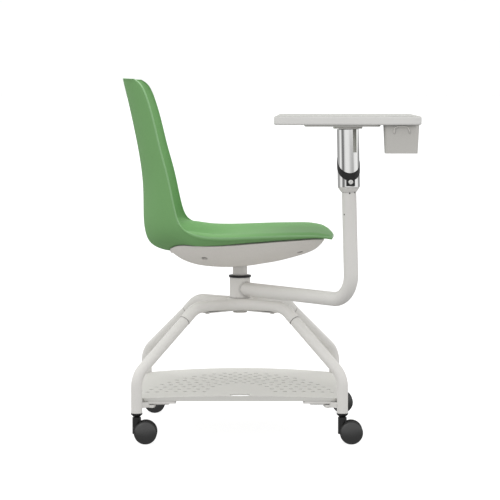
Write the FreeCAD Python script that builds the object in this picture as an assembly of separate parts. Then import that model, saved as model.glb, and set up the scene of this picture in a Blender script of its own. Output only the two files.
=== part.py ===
import FreeCAD, Part
import math
import os

# Student desk chair: turning bucket seat on a four-legged caster base, with a swinging arm
# that carries a folding writing tablet.  Millimetres.  While modelling, the swivel axis is
# X = Y = 0, the floor is Z = FLOOR and the sitter faces +X.  Everything is moved by ORIGIN
# when it is written, so that the origin lies on the floor under the middle of the object.

V = FreeCAD.Vector
FLOOR = -1.8
ORIGIN = V(-71.3, 71.3, -FLOOR)

# Seat shell.  Each row is one section of the moulding, from the top of the back, down and
# forward to the nose of the seat:
# middle x, middle z, edge x, edge z, half width, roll, crown z, skirt z.
# roll goes from 0 (edge is a forward wing) to 1 (the sides crown, then roll down to the edge).
# crown z is the top of the rolled side, and skirt z the lowest line of the side's underside.
SHELL_T = 5.0
EDGE_T = 4.0
SHELL_ROWS = [
    (-272.5, 820.0, -240.0, 818.5, 150.0, 0.0, 0.0, 0.0),
    (-270.0, 808.0, -226.5, 808.0, 163.0, 0.0, 0.0, 0.0),
    (-265.5, 789.0, -215.5, 791.0, 173.0, 0.0, 0.0, 0.0),
    (-257.5, 755.0, -203.5, 758.0, 181.0, 0.0, 0.0, 0.0),
    (-245.5, 699.0, -189.5, 705.0, 187.0, 0.0, 0.0, 0.0),
    (-236.5, 652.0, -177.5, 655.0, 191.5, 0.0, 0.0, 0.0),
    (-229.5, 605.0, -164.5, 608.0, 196.0, 0.0, 0.0, 0.0),
    (-226.0, 558.0, -153.0, 557.0, 200.0, 0.0, 0.0, 0.0),
    (-225.5, 512.0, -144.5, 518.0, 203.0, 0.0, 0.0, 0.0),
    (-223.5, 475.0, -136.0, 493.0, 205.5, 0.05, 500.0, 486.0),
    (-213.0, 441.0, -122.5, 477.0, 207.5, 0.2, 500.0, 464.0),
    (-193.0, 425.5, -104.0, 467.5, 209.0, 0.45, 493.0, 446.0),
    (-162.0, 418.0, -82.0, 462.0, 210.0, 0.75, 479.0, 440.5),
    (-122.0, 420.5, -57.0, 460.0, 210.0, 0.93, 470.5, 441.5),
    (-78.0, 430.0, -28.0, 459.5, 210.0, 1.0, 468.0, 443.0),
    (-30.0, 441.5, 5.0, 460.5, 210.0, 1.0, 468.3, 445.5),
    (25.0, 450.5, 45.0, 462.0, 210.0, 1.0, 469.8, 449.0),
    (82.0, 457.0, 93.0, 464.0, 210.0, 1.0, 471.2, 453.0),
    (133.0, 460.5, 137.0, 465.0, 209.0, 1.0, 471.8, 456.0),
    (172.0, 460.5, 170.0, 464.8, 205.0, 1.0, 471.3, 458.0),
    (198.0, 457.5, 190.0, 463.0, 197.0, 1.0, 468.3, 457.0),
    (212.0, 453.5, 203.0, 459.5, 186.0, 1.0, 463.5, 454.0),
    (219.0, 449.0, 210.0, 455.0, 172.0, 1.0, 457.0, 450.5),
]
# One half section, from the middle to the edge: share of the half width, and share of the rise.
WING_COLUMNS = [(0.0, 0.0), (0.2, 0.02), (0.4, 0.09), (0.58, 0.21), (0.74, 0.38), (0.86, 0.57),
                (0.94, 0.76), (0.98, 0.89), (1.0, 1.0)]
TOP_COLUMNS = [(0.0, 0.0), (0.25, 0.05), (0.47, 0.25), (0.65, 0.6), (0.78, 0.9), (0.88, 1.0),
               (0.95, 0.8), (0.985, 0.42), (1.0, 0.0)]
UNDER_COLUMNS = [(0.0, 0.0), (0.25, 0.08), (0.46, 0.42), (0.61, 0.86), (0.72, 1.1), (0.81, 1.1),
                 (0.89, 1.0), (0.95, 0.5), (0.992, 0.0)]
SHELL_ACROSS = 56
SHELL_ALONG = 66

# Grey bowl under the seat: middle line of its lower surface, and half width along X.
COVER_T = 3.0
COVER_GAP = 3.5
COVER_ALONG, COVER_ACROSS = 40, 40
COVER_LOW = [(-160.0, 417.5), (-149.0, 408.5), (-131.0, 397.5), (-106.0, 388.5), (-79.0, 383.6),
             (-50.0, 381.3), (-23.0, 380.8), (21.0, 384.0), (55.0, 389.3), (89.0, 395.2),
             (136.0, 407.7), (160.0, 416.0), (176.0, 424.2), (188.0, 435.8), (193.0, 444.0)]
COVER_HALF = [(-160.0, 105.0), (-149.0, 138.0), (-131.0, 163.0), (-106.0, 178.0), (-79.0, 184.0),
              (-50.0, 186.0), (136.0, 186.0), (160.0, 183.0), (176.0, 175.0), (188.0, 160.0),
              (193.0, 146.0)]
COVER_SCREWS = [(-80.0, 143.0), (138.0, 128.0)]
RECESS_R = 7.0

# Post, column and sleeve about the swivel axis.
RUNNING = 0.05
POST_R = 17.0
POST_LOW, POST_TOP = 300.0, 404.0
COLUMN_R = 21.0
COLUMN_LOW, COLUMN_TOP = 275.0, 353.0
SLEEVE_R = 24.0
SLEEVE_LOW, SLEEVE_TOP = 306.0, 354.0
RING_R = 26.4
RING_TOP = 359.2
PLATE_LOW = 400.0
PLATE_HALF = 74.0

# Base.
ARM_Z = 292.3
ARM_R = 13.2
ARM_BEND = 60.0
BOW_BEND = 70.0
BOW_CORNER = 16.0
PLATE_T = 2.2
LEG_R = 12.5
LEG_WALL = 2.0
GROOVE_R = 11.2
GROOVE_WIDE = 1.8
LEG_X = 231.5
ELBOW_D = 144.6
SEAM_D = 178.2
SEAM_Z = 264.6
KNEE_Z = 151.0
KNEE_BEND = 50.0
LEG_FOOT = 67.0

# Tray.
TRAY_HALF = 219.0
TRAY_SIDE = 240.0
TRAY_WAIST = 155.0
TRAY_LOW = 92.0
TRAY_ENDS = (97.0, 98.0)
TRAY_MIDS = (103.5, 109.7)
TRAY_CORNER = 6.0
TRAY_T = 3.0
TRAY_BOSS = 200.0
LUG_LOW = 77.0

# Casters.
WHEEL_R = 26.0
AXLE_Z = FLOOR + WHEEL_R
WHEEL_W = 12.0
WHEEL_IN = 10.4
BARREL_R = 9.8
TRAIL = 20.0
STEM_R = 4.0
AXLE_R = 3.0

# Tablet arm and the head of its post.
TUBE_R = 16.0
TUBE_Z = 327.3
CORNER = V(248.1, -300.0, TUBE_Z)
TUBE_TOP = V(241.3, -300.0, 577.0)
TUBE_BEND = 58.0
HEAD_X, HEAD_Y = 241.2, -300.0
HEAD_R = 24.3
HEAD_LEAN = 1.2
SOCKET_LOW, COLLAR_LOW, SLEEVE_END = 569.0, 579.0, 706.6
FLANGE_LOW, FLANGE_HIGH = 707.4, 712.3
FOLD_Z = 627.0
BAND = 16.0
PIN_R = 5.0
FOLD_TURN = 7.0
TAB_OUT = 25.8

# Tablet.
TABLET_LOW, TABLET_TOP = 716.3, 735.0
TABLET_X = (-162.5, 157.0)
TABLET_Y = (-90.0, 485.0)
TABLET_CORNER = 26.0
TABLET_AT_X = 240.0
TABLET_YAW = -2.0
BIN_X, BIN_Y = 113.5, -43.0
BIN_SIZE = 76.0
BIN_LOW = 655.0

CORNERS = {"rear_right": (-1, -1), "front_right": (1, -1), "rear_left": (-1, 1), "front_left": (1, 1)}


def save(name, shape):
    """Write one node, moved so that the origin is under the middle of the whole object."""
    moved = shape.copy()
    moved.translate(ORIGIN)
    moved.exportStep("parts/" + name + ".step")


def cylinder(radius, low, high, x=0.0, y=0.0):
    return Part.makeCylinder(radius, high - low, V(x, y, low))


def cone(r_low, r_high, low, high, x=0.0, y=0.0):
    return Part.makeCone(r_low, r_high, high - low, V(x, y, low))


def block(x0, x1, y0, y1, z0, z1):
    return Part.makeBox(x1 - x0, y1 - y0, z1 - z0, V(x0, y0, z0))


def round_uprights(body, radius):
    """A prism with its upright corners rounded."""
    tall = body.BoundBox.ZLength / 2
    upright = [e for e in body.Edges if abs(e.Vertexes[0].Z - e.Vertexes[1].Z) > tall]
    return body.makeFillet(radius, upright)


def rounded_block(x0, x1, y0, y1, z0, z1, radius):
    """A block with its four upright corners rounded."""
    return round_uprights(block(x0, x1, y0, y1, z0, z1), radius)


def level_edges(body, z):
    """The edges that lie wholly at height z."""
    found = []
    for edge in body.Edges:
        box = edge.BoundBox
        if abs(box.ZMin - z) < 0.01 and abs(box.ZMax - z) < 0.01:
            found.append(edge)
    return found


def along(table, x):
    """Smooth value of a table of (x, value) pairs at x."""
    if x <= table[0][0]:
        return table[0][1]
    if x >= table[-1][0]:
        return table[-1][1]
    i = max(k for k in range(len(table) - 1) if table[k][0] <= x)
    (x0, y0), (x1, y1) = table[i], table[i + 1]
    slope = (y1 - y0) / (x1 - x0)
    before = slope
    after = slope
    if i > 0:
        before = (y1 - table[i - 1][1]) / (x1 - table[i - 1][0])
    if i + 2 < len(table):
        after = (table[i + 2][1] - y0) / (table[i + 2][0] - x0)
    h = x1 - x0
    t = (x - x0) / h
    return (y0 * (2 * t**3 - 3 * t**2 + 1) + before * h * (t**3 - 2 * t**2 + t)
            + y1 * (3 * t**2 - 2 * t**3) + after * h * (t**3 - t**2))


def rod(points, bends, radius):
    """A round rod along straight runs joined by bends of the given radii."""
    edges = []
    here = points[0]
    for i in range(1, len(points) - 1):
        back = (points[i - 1] - points[i]).normalize()
        on = (points[i + 1] - points[i]).normalize()
        half = back.getAngle(on) / 2
        reach = bends[i - 1] / math.tan(half)
        start = points[i] + back * reach
        end = points[i] + on * reach
        middle_way = (back + on).normalize()
        centre = points[i] + middle_way * (bends[i - 1] / math.sin(half))
        top = centre - middle_way * bends[i - 1]
        edges.append(Part.makeLine(here, start))
        edges.append(Part.Arc(start, top, end).toShape())
        here = end
    edges.append(Part.makeLine(here, points[-1]))
    path = Part.Wire(edges)
    ring = Part.Wire([Part.makeCircle(radius, points[0], points[1] - points[0])])
    return path.makePipeShell([ring], True, False)


def between(low, high):
    """The solid between two surfaces laid out the same way."""
    u0, u1, v0, v1 = low.bounds()
    a0, a1, b0, b1 = high.bounds()
    faces = [low.toShape(), high.toShape()]
    for one, other in ((low.uIso(u0), high.uIso(a0)), (low.uIso(u1), high.uIso(a1)),
                       (low.vIso(v0), high.vIso(b0)), (low.vIso(v1), high.vIso(b1))):
        faces.append(Part.makeRuledSurface(one.toShape(), other.toShape()))
    shell = Part.makeShell(faces)
    shell.sewShape()
    solid = Part.makeSolid(shell)
    if solid.Volume < 0:
        solid.reverse()
    return solid


def sheet(grid, thickness, steps_u, steps_v):
    """A solid of even thickness on the smooth surface through a grid of points."""
    low = Part.BSplineSurface()
    low.interpolate(grid)
    u0, u1, v0, v1 = low.bounds()
    lifted = []
    for i in range(steps_u + 1):
        u = u0 + (u1 - u0) * i / steps_u
        row = []
        for j in range(steps_v + 1):
            v = v0 + (v1 - v0) * j / steps_v
            row.append(low.value(u, v) + low.normal(u, v) * thickness)
        lifted.append(row)
    high = Part.BSplineSurface()
    high.interpolate(lifted)
    return between(low, high)


# ---------------------------------------------------------------- seat shell

def wing_points(row, inner):
    """Half section of a forward wing; inner is the face that the sitter leans on."""
    mx, mz, ex, ez, half = row[:5]
    reach = math.hypot(ex - mx, ez - mz)
    fx, fz = (ex - mx) / reach, (ez - mz) / reach
    flat = [(share * half, rise * reach) for share, rise in WING_COLUMNS]
    if inner:
        moved = []
        for i, (y, f) in enumerate(flat):
            y0, f0 = flat[max(i - 1, 0)]
            y1, f1 = flat[min(i + 1, len(flat) - 1)]
            slant = math.hypot(y1 - y0, f1 - f0)
            lean = 0.0 if i == 0 else (f1 - f0) / slant
            moved.append((y - SHELL_T * lean, f + SHELL_T * math.sqrt(1 - lean**2)))
        flat = moved
    return [V(mx + fx * f, y, mz + fz * f) for y, f in flat]


def seat_points(row, inner):
    """Half section of the seat; inner is the face that the sitter sits on."""
    mx, mz, ex, ez, half, roll, crown, skirt = row
    columns = TOP_COLUMNS if inner else UNDER_COLUMNS
    middle, high, edge = mz, skirt, ez - EDGE_T
    if inner:
        middle, high, edge = mz + SHELL_T, crown, ez
    points = []
    for i, (share, rise) in enumerate(columns):
        x = mx + (ex - mx) * share**2
        if i <= len(columns) - 4 or (not inner and i == len(columns) - 3):
            z = middle + (high - middle) * rise
        else:
            z = edge + (high - edge) * rise
        points.append(V(x, share * half, z))
    return points


def shell_half(row, inner):
    """Points of one half section, from the middle to the edge."""
    roll = row[5] ** 0.75 if inner else row[5]
    wing = wing_points(row, inner)
    if roll == 0.0:
        return wing
    seat = seat_points(row, inner)
    return [w * (1 - roll) + s * roll for w, s in zip(wing, seat)]


def curve_through(points, parameters=None):
    curve = Part.BSplineCurve()
    if parameters is None:
        curve.interpolate(Points=points)
    else:
        curve.interpolate(Points=points, Parameters=parameters)
    return curve


def shell_grid(inner):
    """Even, fine grid of points over one face of the shell."""
    rows = []
    for row in SHELL_ROWS:
        half = shell_half(row, inner)
        right = [V(p.x, -p.y, p.z) for p in reversed(half[1:])]
        curve = curve_through(right + half)
        length = curve.length()
        line = []
        for step in range(SHELL_ACROSS + 1):
            t = 2.0 * step / SHELL_ACROSS - 1.0
            share = 0.5 + 0.5 * (0.45 * t + 0.55 * math.sin(math.pi / 2 * t))
            line.append(curve.value(curve.parameterAtDistance(length * share)))
        rows.append(line)
    marks = [0.0]
    for before, after in zip(SHELL_ROWS, SHELL_ROWS[1:]):
        middle = math.hypot(after[0] - before[0], after[1] - before[1])
        edge = math.hypot(after[2] - before[2], after[3] - before[3])
        marks.append(marks[-1] + (middle + edge) / 2)
    columns = []
    for k in range(SHELL_ACROSS + 1):
        curve = curve_through([line[k] for line in rows], marks)
        columns.append([curve.value(marks[-1] * i / SHELL_ALONG) for i in range(SHELL_ALONG + 1)])
    return [[column[i] for column in columns] for i in range(SHELL_ALONG + 1)]


def shell_low(x, y):
    """Height of the shell's lower face over (x, y)."""
    line = []
    for row in SHELL_ROWS[8:]:
        half = shell_half(row, False)
        for a, b in zip(half, half[1:]):
            if a.y <= abs(y) <= b.y:
                t = (abs(y) - a.y) / (b.y - a.y)
                line.append((a.x + (b.x - a.x) * t, a.z + (b.z - a.z) * t))
                break
    for (xa, za), (xb, zb) in zip(line, line[1:]):
        if xa <= x <= xb:
            return za + (zb - za) * (x - xa) / (xb - xa)
    return line[-1][1]


def make_seat_shell():
    low = Part.BSplineSurface()
    low.interpolate(shell_grid(False))
    high = Part.BSplineSurface()
    high.interpolate(shell_grid(True))
    return between(low, high)


# ---------------------------------------------------------------- cover under the seat

def cover_low(x, y):
    half = along(COVER_HALF, x)
    low = along(COVER_LOW, x)
    gap = COVER_GAP + 1.6 * min(max((-95.0 - x) / 40.0, 0.0), 1.0)
    rim = shell_low(x, half) - gap
    share = min(abs(y) / half, 1.0)
    height = low + (rim - low) * share**3.2
    return min(height, shell_low(x, y) - gap)


def cover_grid():
    grid = []
    first, last = COVER_LOW[0][0], COVER_LOW[-1][0]
    for i in range(COVER_ALONG + 1):
        t = i / COVER_ALONG
        x = first + (last - first) * (0.3 * t + 0.7 * (0.5 - 0.5 * math.cos(math.pi * t)))
        half = along(COVER_HALF, x)
        row = []
        for j in range(COVER_ACROSS + 1):
            t = 2.0 * j / COVER_ACROSS - 1.0
            y = half * (0.3 * t + 0.7 * math.sin(math.pi / 2 * t))
            row.append(V(x, y, cover_low(x, y)))
        grid.append(row)
    return grid


def make_cover():
    grid = cover_grid()
    skin = sheet(grid, COVER_T, COVER_ALONG, COVER_ACROSS)
    surface = Part.BSplineSurface()
    surface.interpolate(grid)
    over = surface.toShape().extrude(V(0, 0, 150))
    bosses = []
    holes = [cylinder(POST_R + 2.0, 370, 390)]
    for x, side_y in COVER_SCREWS:
        for y in (-side_y, side_y):
            top = shell_low(x, y) - 1.0
            floor = cover_low(x, y) + 8.0
            bosses.append(cylinder(RECESS_R + 2.5, floor - 40, floor + 2.5, x, y).common(over))
            bosses.append(cylinder(5.0, floor, top, x, y))
            holes.append(cylinder(RECESS_R, floor - 40, floor, x, y))
            holes.append(cylinder(2.2, floor - 1, top + 5, x, y))
    body = skin.fuse(bosses)
    return body.cut(holes)


def make_cover_screws():
    screws = []
    for x, side_y in COVER_SCREWS:
        for y in (-side_y, side_y):
            floor = cover_low(x, y) + 8.0
            head = cylinder(4.5, floor - 3.0, floor, x, y)
            head = head.makeFillet(1.2, level_edges(head, floor - 3.0))
            shank = cylinder(2.2, floor, shell_low(x, y) + 2.5, x, y)
            screws.append(head.fuse(shank))
    return Part.makeCompound(screws)


def make_bracket():
    """Plate on top of the post, with four stand-offs that reach the shell."""
    plate = rounded_block(-PLATE_HALF, PLATE_HALF, -PLATE_HALF, PLATE_HALF, PLATE_LOW, POST_TOP, 14)
    legs = []
    holes = [cylinder(POST_R, PLATE_LOW - 1, POST_TOP + 1)]
    for x, y in bracket_points():
        legs.append(cylinder(8.0, POST_TOP, shell_low(x, y) - 2.0, x, y))
        holes.append(cylinder(2.5, PLATE_LOW - 1, shell_low(x, y) + 1, x, y))
    return plate.fuse(legs).cut(holes)


def bracket_points():
    return [(x, y) for x in (-60.0, 60.0) for y in (-60.0, 60.0)]


def make_seat_screws():
    screws = []
    for x, y in bracket_points():
        head = cylinder(5.0, PLATE_LOW - 3.0, PLATE_LOW, x, y)
        screws.append(head.fuse(cylinder(2.5, PLATE_LOW, shell_low(x, y) + 2.5, x, y)))
    return Part.makeCompound(screws)


# ---------------------------------------------------------------- post and sleeve

def make_post():
    return cylinder(POST_R, POST_LOW, POST_TOP).cut(cylinder(POST_R - 3, POST_LOW - 1, POST_TOP - 4))


def make_column():
    tube = cylinder(COLUMN_R, COLUMN_LOW, COLUMN_TOP)
    return tube.cut(cylinder(POST_R + RUNNING, COLUMN_LOW - 1, COLUMN_TOP + 1))


def make_sleeve():
    tube = cylinder(SLEEVE_R, SLEEVE_LOW, SLEEVE_TOP)
    tube = tube.makeChamfer(0.6, level_edges(tube, SLEEVE_TOP))
    return tube.cut(cylinder(COLUMN_R + RUNNING, SLEEVE_LOW - 1, SLEEVE_TOP + 1))


def make_thrust_ring():
    ring = cylinder(RING_R, SLEEVE_TOP, RING_TOP)
    ring = ring.makeFillet(1.5, level_edges(ring, RING_TOP) + level_edges(ring, SLEEVE_TOP))
    return ring.cut(cylinder(POST_R + 0.4, SLEEVE_TOP - 1, RING_TOP + 1))


# ---------------------------------------------------------------- base

def leg_points(sx, sy):
    """Start in the socket, knee and foot of a leg."""
    slope = (SEAM_Z - KNEE_Z) / (LEG_X * math.sqrt(2) - SEAM_D)
    start = SEAM_D - 24.0
    def at(d, z):
        return V(sx * d / math.sqrt(2), sy * d / math.sqrt(2), z)
    return [at(start, SEAM_Z + 24.0 * slope), at(LEG_X * math.sqrt(2), KNEE_Z),
            at(LEG_X * math.sqrt(2), LEG_FOOT)]


def make_leg(sx, sy):
    points = leg_points(sx, sy)
    outside = rod(points, [KNEE_BEND], LEG_R)
    way = (points[0] - points[1]).normalize()
    longer = [points[0] + way * 2, points[1], points[2] - V(0, 0, 2)]
    mouth = points[0] - way * (points[0].z - SEAM_Z) / way.z
    groove = Part.makeCylinder(LEG_R + 2, GROOVE_WIDE, mouth, -way)
    groove = groove.cut(Part.makeCylinder(GROOVE_R, GROOVE_WIDE, mouth, -way))
    return outside.cut([rod(longer, [KNEE_BEND], LEG_R - LEG_WALL), groove])


def make_spider():
    """Two bowed tubes side by side, each with a leg socket at both ends, and a boss between them."""
    def at(sx, sy, d, z):
        return V(sx * d / math.sqrt(2), sy * d / math.sqrt(2), z)
    body = cylinder(30.0, ARM_Z - ARM_R, ARM_Z + ARM_R)
    body = body.makeFillet(4.0, level_edges(body, ARM_Z + ARM_R))
    holes = []
    for sy in (-1, 1):
        points = [at(-1, sy, SEAM_D, SEAM_Z), at(-1, sy, ELBOW_D, ARM_Z), V(0, sy * BOW_CORNER, ARM_Z),
                  at(1, sy, ELBOW_D, ARM_Z), at(1, sy, SEAM_D, SEAM_Z)]
        body = body.fuse(rod(points, [ARM_BEND, BOW_BEND, ARM_BEND], ARM_R))
    for sx, sy in CORNERS.values():
        leg = leg_points(sx, sy)
        holes.append(Part.makeCylinder(LEG_R, 60.0, leg[0], leg[1] - leg[0]))
        holes.append(cylinder(2.0, ARM_Z - ARM_R - 1, ARM_Z - ARM_R + 7.5, sx * 75.0, sy * 75.0))
    holes.append(cylinder(COLUMN_R, ARM_Z - 30, ARM_Z + 30))
    return body.cut(holes).removeSplitter()


def spider_screw_points():
    return [(sx * 75.0, sy * 75.0) for sx, sy in CORNERS.values()]


def make_spider_plate():
    low, high = ARM_Z - ARM_R - PLATE_T, ARM_Z - ARM_R
    plate = cylinder(34.0, low, high)
    for turn in (45, 135):
        bar = rounded_block(-116, 116, -11, 11, low, high, 8)
        bar.rotate(V(0, 0, 0), V(0, 0, 1), turn)
        plate = plate.fuse(bar)
    holes = [cylinder(COLUMN_R, low - 5, high + 5)]
    for x, y in spider_screw_points():
        holes.append(cylinder(2.0, low - 5, high + 5, x, y))
    return plate.cut(holes)


def make_spider_screws():
    low = ARM_Z - ARM_R - PLATE_T
    screws = []
    for x, y in spider_screw_points():
        head = cylinder(4.5, low - 2.4, low, x, y)
        head = head.makeFillet(1.0, level_edges(head, low - 2.4))
        screws.append(head.fuse(cylinder(2.0, low, low + PLATE_T + 7.5, x, y)))
    return Part.makeCompound(screws)


def make_hub_cap():
    disc = cylinder(16.5, COLUMN_LOW - 4.5, COLUMN_LOW - 2.5)
    disc = disc.makeFillet(0.8, level_edges(disc, COLUMN_LOW - 4.5))
    plug = cylinder(POST_R + RUNNING, COLUMN_LOW + 1.0, COLUMN_LOW + 14.0)
    return disc.fuse([cylinder(15.0, COLUMN_LOW - 2.5, COLUMN_LOW + 1.0), plug])


def make_tray():
    """A shallow pan, arched along X, wider between the legs, with its skirt turned down."""
    def arch(inset, low, drop):
        side, half = TRAY_SIDE - inset, TRAY_HALF - inset
        wires = []
        for y, end_z, mid_z in ((-half, TRAY_ENDS[0], TRAY_MIDS[0]), (half, TRAY_ENDS[1], TRAY_MIDS[1])):
            a, b = V(-side, y, low), V(side, y, low)
            end = mid_z - (mid_z - end_z) * (side / TRAY_SIDE) ** 2 - drop
            c, d = V(side, y, end), V(-side, y, end)
            top = Part.Arc(c, V(0, y, mid_z - drop), d).toShape()
            wires.append(Part.Wire([Part.makeLine(a, b), Part.makeLine(b, c), top, Part.makeLine(d, a)]))
        return Part.makeLoft(wires, True, True)

    def plan(inset):
        side, half = TRAY_SIDE - inset, TRAY_HALF - inset
        quarter = [(half, half), (side, TRAY_WAIST)]
        corners = quarter + [(x, -y) for x, y in reversed(quarter)]
        corners += [(-x, y) for x, y in reversed(corners)]
        outline = [V(x, y, TRAY_LOW - 5) for x, y in corners + corners[:1]]
        prism = Part.Face(Part.makePolygon(outline)).extrude(V(0, 0, TRAY_MIDS[1] + 10 - TRAY_LOW))
        return round_uprights(prism, TRAY_CORNER - inset / 2)

    body = arch(0.0, TRAY_LOW, 0.0).common(plan(0.0))
    body = body.cut(arch(TRAY_T, TRAY_LOW - 2, TRAY_T).common(plan(TRAY_T)))
    bosses = []
    cuts = [rounded_block(-22, 24, -214, -187, TRAY_LOW - 1, TRAY_MIDS[1] + 5, 10)]
    for sx, sy in CORNERS.values():
        x, y = sx * TRAY_BOSS, sy * TRAY_BOSS
        bosses.append(cylinder(7.0, TRAY_LOW, TRAY_ENDS[(1 + sy) // 2] + 1.5, x, y))
        cuts.append(cylinder(2.0, TRAY_LOW - 1, 95.0, x, y))
    return body.fuse(bosses).cut(cuts + tray_slots())


def tray_slots():
    """Short slots in seven arched, staggered rows that fan out from the middle of the near edge."""
    slots = []
    for ring in range(7):
        wide = 85.0 + 22.0 * ring
        deep = 175.0 + 26.0 * ring
        count = 12 + 2 * ring + ring % 2
        for k in range(count):
            turn = math.radians(90 + 162.0 * (k + 0.5 - count / 2) / count)
            x = wide * math.cos(turn)
            y = -195.0 + deep * math.sin(turn)
            slot = rounded_block(-5.5, 5.5, -3.75, 3.75, TRAY_LOW - 1, TRAY_MIDS[1] + 5, 3.4)
            slot.rotate(V(0, 0, 0), V(0, 0, 1), 30.0 * math.cos(turn))
            slot.translate(V(x, y, 0))
            slots.append(slot)
    return slots


def make_tray_bracket(sx, sy):
    """Stepped plate under a corner of the tray, welded to the leg."""
    def plate(reach, edge, z0, z1, radius):
        x0, x1 = sorted((sx * (TRAY_HALF - reach), sx * (TRAY_HALF - edge)))
        y0, y1 = sorted((sy * (TRAY_HALF - reach), sy * (TRAY_HALF - edge)))
        return rounded_block(x0, x1, y0, y1, z0, z1, radius)
    body = plate(75, 1, 86.0, TRAY_LOW, 5)
    body = body.fuse(plate(60, 6, 83.0, 86.0, 5))
    body = body.fuse(plate(27, 2, LUG_LOW, 83.0, 5))
    tongue = block(0, 44, -9, 9, LUG_LOW + 1, 90.0)
    tongue.rotate(V(0, 0, 0), V(0, 0, 1), math.degrees(math.atan2(sy, sx)))
    tongue.translate(V(sx * 196.0, sy * 196.0, 0))
    body = body.fuse(tongue)
    leg = cylinder(LEG_R, 60, 110, sx * LEG_X, sy * LEG_X)
    beyond = cylinder(60.0, 60, 110, sx * (LEG_X + 42), sy * (LEG_X + 42))
    hole = cylinder(2.0, 70, 100, sx * TRAY_BOSS, sy * TRAY_BOSS)
    return body.cut([leg, beyond.common(block(-400, 400, -400, 400, 70, 93)), hole]).Solids[0]


def make_tray_screws():
    screws = []
    for sx, sy in CORNERS.values():
        x, y = sx * TRAY_BOSS, sy * TRAY_BOSS
        head = cylinder(4.5, LUG_LOW - 3.0, LUG_LOW, x, y)
        head = head.makeFillet(1.2, level_edges(head, LUG_LOW - 3.0))
        screws.append(head.fuse(cylinder(2.0, LUG_LOW, 94.5, x, y)))
    return Part.makeCompound(screws)


# ---------------------------------------------------------------- casters

def make_insert(x, y):
    body = cylinder(LEG_R - LEG_WALL, LEG_FOOT, 100.0, x, y)
    body = body.fuse(cylinder(LEG_R + 0.4, LEG_FOOT - 3.0, LEG_FOOT, x, y))
    body = body.fuse(cone(6.8, LEG_R, 58.4, LEG_FOOT - 3.0, x, y))
    return body.cut(cylinder(STEM_R + RUNNING, 50.0, 110.0, x, y))


def make_stem(x, y):
    stem = cylinder(STEM_R, 32.0, 97.0, x, y)
    return stem.makeChamfer(0.8, level_edges(stem, 97.0))


def make_housing(x, y):
    barrel = cylinder(BARREL_R, 20.0, 58.0, x, y)
    barrel = barrel.makeFillet(1.0, level_edges(barrel, 58.0) + level_edges(barrel, 20.0))
    web = Part.makeCylinder(19.0, 15.0, V(x + TRAIL, y - 7.5, AXLE_Z), V(0, 1, 0))
    body = barrel.fuse(web)
    stem = cylinder(STEM_R, 32.0, 60.0, x, y)
    axle = Part.makeCylinder(AXLE_R, 60.0, V(x + TRAIL, y - 30, AXLE_Z), V(0, 1, 0))
    return body.cut([stem, axle])


def make_axle(x, y):
    half = WHEEL_IN + WHEEL_W - 3.5
    return Part.makeCylinder(AXLE_R, 2 * half, V(x + TRAIL, y - half, AXLE_Z), V(0, 1, 0))


def make_wheel(x, y, side):
    """One wheel of a twin caster; side is -1 or 1."""
    way = V(0, side, 0)
    start = V(x + TRAIL, y + side * WHEEL_IN, AXLE_Z)
    wheel = Part.makeCylinder(WHEEL_R, WHEEL_W, start, way)
    face_y = y + side * (WHEEL_IN + WHEEL_W)
    rim = [e for e in wheel.Edges if abs(e.BoundBox.YMin - face_y) < 0.01 and e.BoundBox.YLength < 0.01]
    wheel = wheel.makeFillet(4.0, rim)
    recess = Part.makeCylinder(20.5, 5.0, start - way, way)
    recess = recess.cut(Part.makeCylinder(6.0, 5.0, start - way, way))
    bore = Part.makeCylinder(AXLE_R + RUNNING, WHEEL_W - 3.0, start, way)
    return wheel.cut([recess, bore])


# ---------------------------------------------------------------- tablet arm and head

def make_arm_tube():
    out = V(CORNER.x, CORNER.y, 0).normalize()
    start = V(0, 0, TUBE_Z) + out * 12.0
    points = [start, CORNER, TUBE_TOP]
    outside = rod(points, [TUBE_BEND], TUBE_R)
    inside = rod([start - out * 2, CORNER, TUBE_TOP + V(0, 0, 2)], [TUBE_BEND], TUBE_R - 2.5)
    holes = [inside, cylinder(SLEEVE_R, 250, 400)]
    lean = (TUBE_TOP - CORNER).normalize()
    for z, turn in ((566.0, -88.0), (567.5, -42.0), (519.0, -140.0)):
        centre = CORNER + lean * ((z - TUBE_Z) / lean.z)
        way = V(math.cos(math.radians(turn)), math.sin(math.radians(turn)), 0)
        holes.append(Part.makeCylinder(1.7, 22.0, centre, way))
    return outside.cut(holes)


def fold_normal():
    turn = math.radians(-90 + FOLD_TURN)
    slant = math.sqrt(0.5)
    return V(slant * math.cos(turn), slant * math.sin(turn), slant)


def fold_centre():
    return V(HEAD_X, HEAD_Y, FOLD_Z)


def above(rise):
    """A big block over the slanted joint plane, lifted by rise along the head's axis."""
    cutter = block(-150, 150, -150, 150, 0, 300)
    cutter.Placement = FreeCAD.Placement(fold_centre() + V(0, 0, rise),
                                         FreeCAD.Rotation(V(0, 0, 1), fold_normal()))
    return cutter


def leaning(shape):
    """Tip a part of the head over with the post that carries it."""
    shape.rotate(V(HEAD_X, HEAD_Y, SOCKET_LOW), V(0, 1, 0), -HEAD_LEAN)
    return shape


def head_disc(radius, low, high):
    return cylinder(radius, low, high, HEAD_X, HEAD_Y)


def pin_bore(radius):
    n = fold_normal()
    return Part.makeCylinder(radius, 60.0, fold_centre() - n * 30.0, n)


def tab_way():
    n = fold_normal()
    return V(n.x, n.y, 0).normalize()


def screw_hole(radius, depth_in, out_to):
    way = tab_way()
    start = V(HEAD_X, HEAD_Y, 591.0) + way * depth_in
    return Part.makeCylinder(radius, out_to - depth_in, start, way)


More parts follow.
